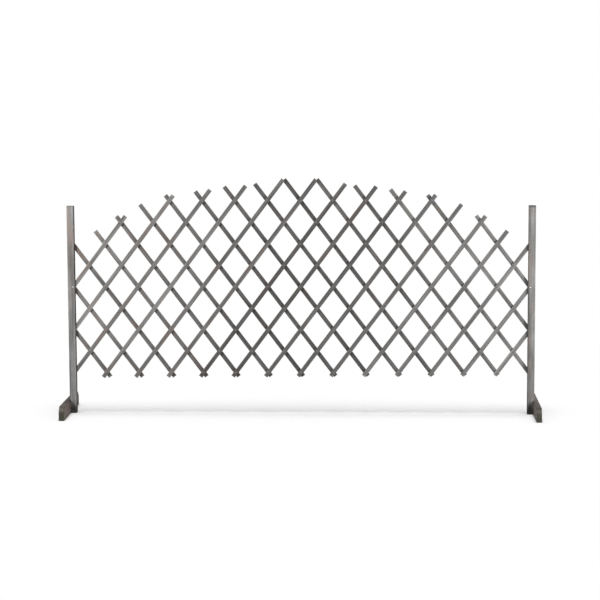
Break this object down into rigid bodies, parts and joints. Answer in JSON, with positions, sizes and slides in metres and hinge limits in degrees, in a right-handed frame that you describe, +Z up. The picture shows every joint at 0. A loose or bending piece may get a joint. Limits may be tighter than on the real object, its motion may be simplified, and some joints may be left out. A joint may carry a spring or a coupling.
{
  "type": "expandable wooden trellis",
  "caption": "Scissor lattice of riveted wooden slats with an arched top, spread between two grooved posts that stand on cross boards.",
  "frame": {"origin": "on the floor, halfway between the two posts, in the plane where the two slat layers meet", "axes": "+X along the lattice to the right post, -Y to the front, +Z up"},
  "size_m": [2.0432, 0.4, 1.0178],
  "materials": {
    "post_wood": "weathered",
    "foot_wood": "weathered",
    "slat_wood": "weathered",
    "zinc_steel": "dull zinc"
  },
  "bodies": {
    "left_stand": {"left_post": "post_wood", "left_foot": "foot_wood", "left_foot_screw_lower": "zinc_steel", "left_foot_screw_upper": "zinc_steel", "left_pivot_screw": "zinc_steel"},
    "right_stand": {"right_post": "post_wood", "right_foot": "foot_wood", "right_foot_screw_lower": "zinc_steel", "right_foot_screw_upper": "zinc_steel", "right_pivot_screw": "zinc_steel"},
    "front_slat_01": {"front_slat_01": "slat_wood"},
    "front_slat_02": {"front_slat_02": "slat_wood"},
    "front_slat_03": {"front_slat_03": "slat_wood"},
    "front_slat_04": {"front_slat_04": "slat_wood"},
    "front_slat_05": {"front_slat_05": "slat_wood"},
    "front_slat_06": {"front_slat_06": "slat_wood"},
    "front_slat_07": {"front_slat_07": "slat_wood"},
    "front_slat_08": {"front_slat_08": "slat_wood"},
    "front_slat_09": {"front_slat_09": "slat_wood"},
    "front_slat_10": {"front_slat_10": "slat_wood"},
    "front_slat_11": {"front_slat_11": "slat_wood"},
    "front_slat_12": {"front_slat_12": "slat_wood"},
    "front_slat_13": {"front_slat_13": "slat_wood"},
    "front_slat_14": {"front_slat_14": "slat_wood"},
    "front_slat_15": {"front_slat_15": "slat_wood"},
    "front_slat_16": {"front_slat_16": "slat_wood"},
    "back_slat_01": {"back_slat_01": "slat_wood"},
    "back_slat_02": {"back_slat_02": "slat_wood"},
    "back_slat_03": {"back_slat_03": "slat_wood"},
    "back_slat_04": {"back_slat_04": "slat_wood"},
    "back_slat_05": {"back_slat_05": "slat_wood"},
    "back_slat_06": {"back_slat_06": "slat_wood"},
    "back_slat_07": {"back_slat_07": "slat_wood"},
    "back_slat_08": {"back_slat_08": "slat_wood"},
    "back_slat_09": {"back_slat_09": "slat_wood"},
    "back_slat_10": {"back_slat_10": "slat_wood"},
    "back_slat_11": {"back_slat_11": "slat_wood"},
    "back_slat_12": {"back_slat_12": "slat_wood"},
    "back_slat_13": {"back_slat_13": "slat_wood"},
    "back_slat_14": {"back_slat_14": "slat_wood"},
    "back_slat_15": {"back_slat_15": "slat_wood"},
    "back_slat_16": {"back_slat_16": "slat_wood"}
  },
  "joints": [
    {"name": "lattice_spread", "type": "hinge", "parent": "left_stand", "child": "back_slat_02", "pos_m": [-0.98156, 0, 0.55], "axis": [0, -1, 0], "range_deg": [-31.5, 8]},
    {"name": "front_slat_01_rivet", "type": "hinge", "parent": "back_slat_02", "child": "front_slat_01", "pos_m": [-0.98156, 0, 0.55], "axis": [0, 1, 0], "range_deg": [-63, 16]},
    {"name": "front_slat_02_rivet", "type": "hinge", "parent": "back_slat_02", "child": "front_slat_02", "pos_m": [-0.91145, 0, 0.45696], "axis": [0, 1, 0], "range_deg": [-63, 16]},
    {"name": "front_slat_03_rivet", "type": "hinge", "parent": "back_slat_02", "child": "front_slat_03", "pos_m": [-0.84134, 0, 0.36392], "axis": [0, 1, 0], "range_deg": [-63, 16]},
    {"name": "front_slat_04_rivet", "type": "hinge", "parent": "back_slat_02", "child": "front_slat_04", "pos_m": [-0.77123, 0, 0.27088], "axis": [0, 1, 0], "range_deg": [-63, 16]},
    {"name": "front_slat_05_rivet", "type": "hinge", "parent": "back_slat_02", "child": "front_slat_05", "pos_m": [-0.70112, 0, 0.17784], "axis": [0, 1, 0], "range_deg": [-63, 16]},
    {"name": "front_slat_06_rivet", "type": "hinge", "parent": "back_slat_10", "child": "front_slat_06", "pos_m": [-0.07011, 0, 0.82912], "axis": [0, 1, 0], "range_deg": [-63, 16]},
    {"name": "front_slat_07_rivet", "type": "hinge", "parent": "back_slat_10", "child": "front_slat_07", "pos_m": [0, 0, 0.73608], "axis": [0, 1, 0], "range_deg": [-63, 16]},
    {"name": "front_slat_08_rivet", "type": "hinge", "parent": "back_slat_10", "child": "front_slat_08", "pos_m": [0.07011, 0, 0.64304], "axis": [0, 1, 0], "range_deg": [-63, 16]},
    {"name": "front_slat_09_rivet", "type": "hinge", "parent": "back_slat_10", "child": "front_slat_09", "pos_m": [0.14022, 0, 0.55], "axis": [0, 1, 0], "range_deg": [-63, 16]},
    {"name": "front_slat_10_rivet", "type": "hinge", "parent": "back_slat_10", "child": "front_slat_10", "pos_m": [0.21033, 0, 0.45696], "axis": [0, 1, 0], "range_deg": [-63, 16]},
    {"name": "front_slat_11_rivet", "type": "hinge", "parent": "back_slat_10", "child": "front_slat_11", "pos_m": [0.28045, 0, 0.36392], "axis": [0, 1, 0], "range_deg": [-63, 16]},
    {"name": "front_slat_12_rivet", "type": "hinge", "parent": "back_slat_10", "child": "front_slat_12", "pos_m": [0.35056, 0, 0.27088], "axis": [0, 1, 0], "range_deg": [-63, 16]},
    {"name": "front_slat_13_rivet", "type": "hinge", "parent": "back_slat_10", "child": "front_slat_13", "pos_m": [0.42067, 0, 0.17784], "axis": [0, 1, 0], "range_deg": [-63, 16]},
    {"name": "front_slat_14_rivet", "type": "hinge", "parent": "back_slat_14", "child": "front_slat_14", "pos_m": [0.77123, 0, 0.45696], "axis": [0, 1, 0], "range_deg": [-63, 16]},
    {"name": "front_slat_15_rivet", "type": "hinge", "parent": "back_slat_14", "child": "front_slat_15", "pos_m": [0.84134, 0, 0.36392], "axis": [0, 1, 0], "range_deg": [-63, 16]},
    {"name": "front_slat_16_rivet", "type": "hinge", "parent": "back_slat_14", "child": "front_slat_16", "pos_m": [0.91145, 0, 0.27088], "axis": [0, 1, 0], "range_deg": [-63, 16]},
    {"name": "back_slat_01_rivet", "type": "hinge", "parent": "front_slat_03", "child": "back_slat_01", "pos_m": [-0.91145, 0, 0.27088], "axis": [0, -1, 0], "range_deg": [-63, 16]},
    {"name": "back_slat_03_rivet", "type": "hinge", "parent": "front_slat_05", "child": "back_slat_03", "pos_m": [-0.631, 0, 0.27088], "axis": [0, -1, 0], "range_deg": [-63, 16]},
    {"name": "back_slat_04_rivet", "type": "hinge", "parent": "front_slat_05", "child": "back_slat_04", "pos_m": [-0.56089, 0, 0.36392], "axis": [0, -1, 0], "range_deg": [-63, 16]},
    {"name": "back_slat_05_rivet", "type": "hinge", "parent": "front_slat_05", "child": "back_slat_05", "pos_m": [-0.49078, 0, 0.45696], "axis": [0, -1, 0], "range_deg": [-63, 16]},
    {"name": "back_slat_06_rivet", "type": "hinge", "parent": "front_slat_05", "child": "back_slat_06", "pos_m": [-0.42067, 0, 0.55], "axis": [0, -1, 0], "range_deg": [-63, 16]},
    {"name": "back_slat_07_rivet", "type": "hinge", "parent": "front_slat_05", "child": "back_slat_07", "pos_m": [-0.35056, 0, 0.64304], "axis": [0, -1, 0], "range_deg": [-63, 16]},
    {"name": "back_slat_08_rivet", "type": "hinge", "parent": "front_slat_05", "child": "back_slat_08", "pos_m": [-0.28045, 0, 0.73608], "axis": [0, -1, 0], "range_deg": [-63, 16]},
    {"name": "back_slat_09_rivet", "type": "hinge", "parent": "front_slat_05", "child": "back_slat_09", "pos_m": [-0.21033, 0, 0.82912], "axis": [0, -1, 0], "range_deg": [-63, 16]},
    {"name": "back_slat_10_rivet", "type": "hinge", "parent": "front_slat_05", "child": "back_slat_10", "pos_m": [-0.14022, 0, 0.92216], "axis": [0, -1, 0], "range_deg": [-63, 16]},
    {"name": "back_slat_11_rivet", "type": "hinge", "parent": "front_slat_13", "child": "back_slat_11", "pos_m": [0.49078, 0, 0.27088], "axis": [0, -1, 0], "range_deg": [-63, 16]},
    {"name": "back_slat_12_rivet", "type": "hinge", "parent": "front_slat_13", "child": "back_slat_12", "pos_m": [0.56089, 0, 0.36392], "axis": [0, -1, 0], "range_deg": [-63, 16]},
    {"name": "back_slat_13_rivet", "type": "hinge", "parent": "front_slat_13", "child": "back_slat_13", "pos_m": [0.631, 0, 0.45696], "axis": [0, -1, 0], "range_deg": [-63, 16]},
    {"name": "back_slat_14_rivet", "type": "hinge", "parent": "front_slat_13", "child": "back_slat_14", "pos_m": [0.70112, 0, 0.55], "axis": [0, -1, 0], "range_deg": [-63, 16]},
    {"name": "back_slat_15_rivet", "type": "hinge", "parent": "front_slat_13", "child": "back_slat_15", "pos_m": [0.77123, 0, 0.64304], "axis": [0, -1, 0], "range_deg": [-63, 16]},
    {"name": "back_slat_16_rivet", "type": "hinge", "parent": "front_slat_13", "child": "back_slat_16", "pos_m": [0.84134, 0, 0.73608], "axis": [0, -1, 0], "range_deg": [-63, 16]},
    {"name": "right_post_screw", "type": "hinge", "parent": "back_slat_16", "child": "right_stand", "pos_m": [0.98156, 0, 0.55], "axis": [0, 1, 0], "range_deg": [-31.5, 8]}
  ],
  "couplings": [
    {"joint": "front_slat_01_rivet", "follows": "lattice_spread", "ratio": 2},
    {"joint": "front_slat_02_rivet", "follows": "lattice_spread", "ratio": 2},
    {"joint": "front_slat_03_rivet", "follows": "lattice_spread", "ratio": 2},
    {"joint": "front_slat_04_rivet", "follows": "lattice_spread", "ratio": 2},
    {"joint": "front_slat_05_rivet", "follows": "lattice_spread", "ratio": 2},
    {"joint": "front_slat_06_rivet", "follows": "lattice_spread", "ratio": 2},
    {"joint": "front_slat_07_rivet", "follows": "lattice_spread", "ratio": 2},
    {"joint": "front_slat_08_rivet", "follows": "lattice_spread", "ratio": 2},
    {"joint": "front_slat_09_rivet", "follows": "lattice_spread", "ratio": 2},
    {"joint": "front_slat_10_rivet", "follows": "lattice_spread", "ratio": 2},
    {"joint": "front_slat_11_rivet", "follows": "lattice_spread", "ratio": 2},
    {"joint": "front_slat_12_rivet", "follows": "lattice_spread", "ratio": 2},
    {"joint": "front_slat_13_rivet", "follows": "lattice_spread", "ratio": 2},
    {"joint": "front_slat_14_rivet", "follows": "lattice_spread", "ratio": 2},
    {"joint": "front_slat_15_rivet", "follows": "lattice_spread", "ratio": 2},
    {"joint": "front_slat_16_rivet", "follows": "lattice_spread", "ratio": 2},
    {"joint": "back_slat_01_rivet", "follows": "lattice_spread", "ratio": 2},
    {"joint": "back_slat_03_rivet", "follows": "lattice_spread", "ratio": 2},
    {"joint": "back_slat_04_rivet", "follows": "lattice_spread", "ratio": 2},
    {"joint": "back_slat_05_rivet", "follows": "lattice_spread", "ratio": 2},
    {"joint": "back_slat_06_rivet", "follows": "lattice_spread", "ratio": 2},
    {"joint": "back_slat_07_rivet", "follows": "lattice_spread", "ratio": 2},
    {"joint": "back_slat_08_rivet", "follows": "lattice_spread", "ratio": 2},
    {"joint": "back_slat_09_rivet", "follows": "lattice_spread", "ratio": 2},
    {"joint": "back_slat_10_rivet", "follows": "lattice_spread", "ratio": 2},
    {"joint": "back_slat_11_rivet", "follows": "lattice_spread", "ratio": 2},
    {"joint": "back_slat_12_rivet", "follows": "lattice_spread", "ratio": 2},
    {"joint": "back_slat_13_rivet", "follows": "lattice_spread", "ratio": 2},
    {"joint": "back_slat_14_rivet", "follows": "lattice_spread", "ratio": 2},
    {"joint": "back_slat_15_rivet", "follows": "lattice_spread", "ratio": 2},
    {"joint": "back_slat_16_rivet", "follows": "lattice_spread", "ratio": 2},
    {"joint": "right_post_screw", "follows": "lattice_spread", "ratio": 1}
  ]
}
